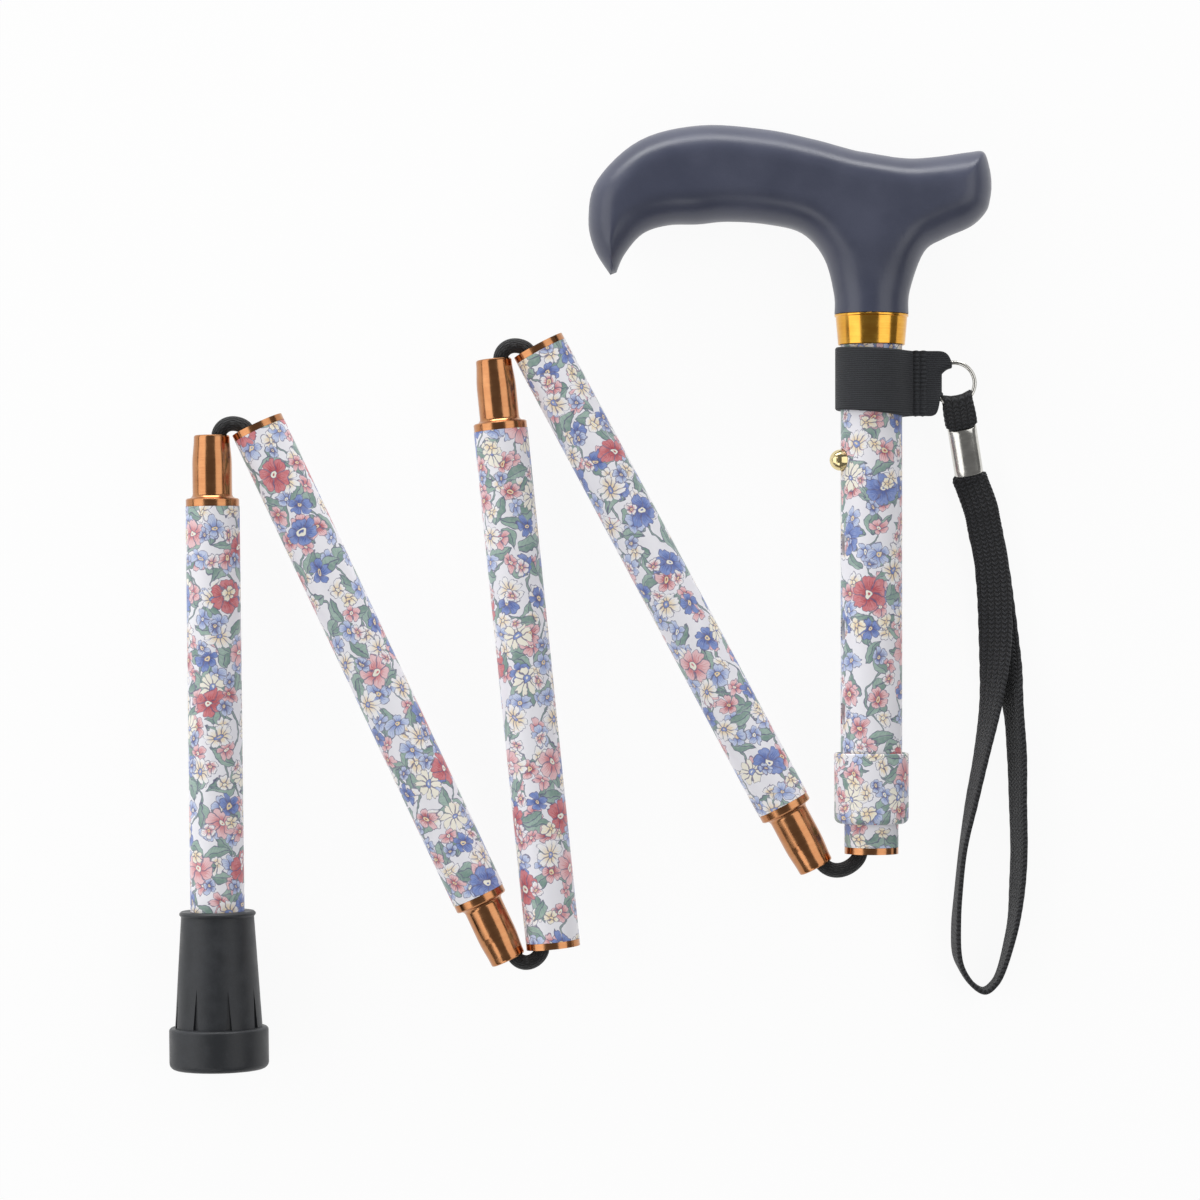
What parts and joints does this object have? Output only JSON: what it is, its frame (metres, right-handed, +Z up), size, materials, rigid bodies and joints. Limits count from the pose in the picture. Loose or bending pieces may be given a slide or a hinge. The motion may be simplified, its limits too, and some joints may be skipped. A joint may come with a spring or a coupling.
{
  "type": "folding walking cane",
  "caption": "Height-adjustable folding walking cane with a derby handle, flower-printed tube sections on an elastic cord, a rubber foot and a wrist strap, lying folded in a zigzag.",
  "frame": {"origin": "on the table, below the middle of the folded cane without its strap", "axes": "+Y along the handle tube towards the handle, +X towards the wrist strap's side in the plane of the fold, +Z up from the table"},
  "size_m": [0.255, 0.2797, 0.0294],
  "materials": {
    "handle_soft": "soft satin navy",
    "gold": "gold anodised",
    "print_film": "white tube with a glossy flower print",
    "copper": "copper-coloured, satin turned",
    "rubber_foot": "moulded rubber",
    "elastic_cord": "braided sheath on an elastic core",
    "webbing": "woven webbing",
    "nickel": "nickel plated",
    "spring_steel": "strip steel",
    "brass_button": "bright turned",
    "inner_plastic": "moulded"
  },
  "bodies": {
    "handle": {"handle": "handle_soft", "handle_collar": "gold", "handle_tube": "print_film", "collet_bush": "inner_plastic", "strap_cuff": "webbing"},
    "lock_ring": {"lock_ring": "print_film"},
    "inner_tube": {"inner_tube": "print_film", "mouth_ring_5": "copper", "cord_anchor_top": "inner_plastic", "cord_5": "elastic_cord", "button_spring": "spring_steel"},
    "snap_button": {"snap_button": "brass_button"},
    "strap_ring": {"strap_ring": "nickel"},
    "strap": {"strap_tab": "webbing", "strap_crimp": "nickel", "strap_loop": "webbing"},
    "link_4": {"cord_bend_4": "elastic_cord"},
    "section_4": {"tube_4": "print_film", "stub_4": "copper", "mouth_ring_4": "copper", "cord_4": "elastic_cord"},
    "link_3": {"cord_bend_3": "elastic_cord"},
    "section_3": {"tube_3": "print_film", "stub_3": "copper", "mouth_ring_3": "copper", "cord_3": "elastic_cord"},
    "link_2": {"cord_bend_2": "elastic_cord"},
    "section_2": {"tube_2": "print_film", "stub_2": "copper", "mouth_ring_2": "copper", "cord_2": "elastic_cord"},
    "link_1": {"cord_bend_1": "elastic_cord"},
    "section_1": {"tube_1": "print_film", "stub_1": "copper", "cord_1": "elastic_cord", "foot": "rubber_foot", "foot_washer": "spring_steel", "cord_anchor_bottom": "inner_plastic"}
  },
  "joints": [
    {"name": "height_adjust", "type": "slide", "parent": "handle", "child": "inner_tube", "axis": [0, -1, 0], "range_m": [0, 0.075], "deforming": ["snap_button", "button_spring"]},
    {"name": "lock_ring_turn", "type": "hinge", "parent": "handle", "child": "lock_ring", "pos_m": [0.08632, -0.05607, 0.0147], "axis": [0, 1, 0], "range_deg": [0, 180]},
    {"name": "button_press", "type": "slide", "parent": "inner_tube", "child": "snap_button", "axis": [0.9659, 0, -0.2588], "range_m": [0, 0.005], "stiffness_N_per_m": 600, "deforming": ["button_spring"]},
    {"name": "ring_swing", "type": "hinge", "parent": "handle", "child": "strap_ring", "pos_m": [0.10498, 0.06353, 0.0147], "axis": [0, -1, 0], "range_deg": [0, 45]},
    {"name": "strap_swing", "type": "hinge", "parent": "strap_ring", "child": "strap", "pos_m": [0.11187, 0.05828, 0.0147], "axis": [-0.9803, -0.1977, 0], "range_deg": [0, 95]},
    {"name": "seat_4", "type": "slide", "parent": "inner_tube", "child": "link_4", "axis": [0, 1, 0], "range_m": [0, 0.0193], "deforming": ["cord_bend_4"]},
    {"name": "fold_4", "type": "hinge", "parent": "link_4", "child": "section_4", "pos_m": [0.07773, -0.07617, 0.0147], "axis": [0, 0, 1], "range_deg": [-12, 151.9], "deforming": ["cord_bend_4"]},
    {"name": "seat_3", "type": "slide", "parent": "section_4", "child": "link_3", "axis": [0.471, -0.8821, 0], "range_m": [0, 0.0193], "deforming": ["cord_bend_3"]},
    {"name": "fold_3", "type": "hinge", "parent": "link_3", "child": "section_3", "pos_m": [-0.01883, 0.07168, 0.0147], "axis": [0, 0, -1], "range_deg": [-11, 157.7], "deforming": ["cord_bend_3"]},
    {"name": "seat_2", "type": "slide", "parent": "section_3", "child": "link_2", "axis": [-0.1011, 0.9949, 0], "range_m": [0, 0.0193], "deforming": ["cord_bend_2"]},
    {"name": "fold_2", "type": "hinge", "parent": "link_2", "child": "section_2", "pos_m": [-0.01485, -0.10472, 0.0147], "axis": [0, 0, 1], "range_deg": [-11.3, 160.7], "deforming": ["cord_bend_2"]},
    {"name": "seat_1", "type": "slide", "parent": "section_2", "child": "link_1", "axis": [0.4258, -0.9048, 0], "range_m": [0, 0.0193], "deforming": ["cord_bend_1"]},
    {"name": "fold_1", "type": "hinge", "parent": "link_1", "child": "section_1", "pos_m": [-0.1023, 0.04852, 0.0147], "axis": [0, 0, -1], "range_deg": [-15, 155.5], "deforming": ["cord_bend_1"]}
  ],
  "couplings": [
    {"joint": "fold_2", "follows": "fold_3", "ratio": 1.0184}
  ]
}
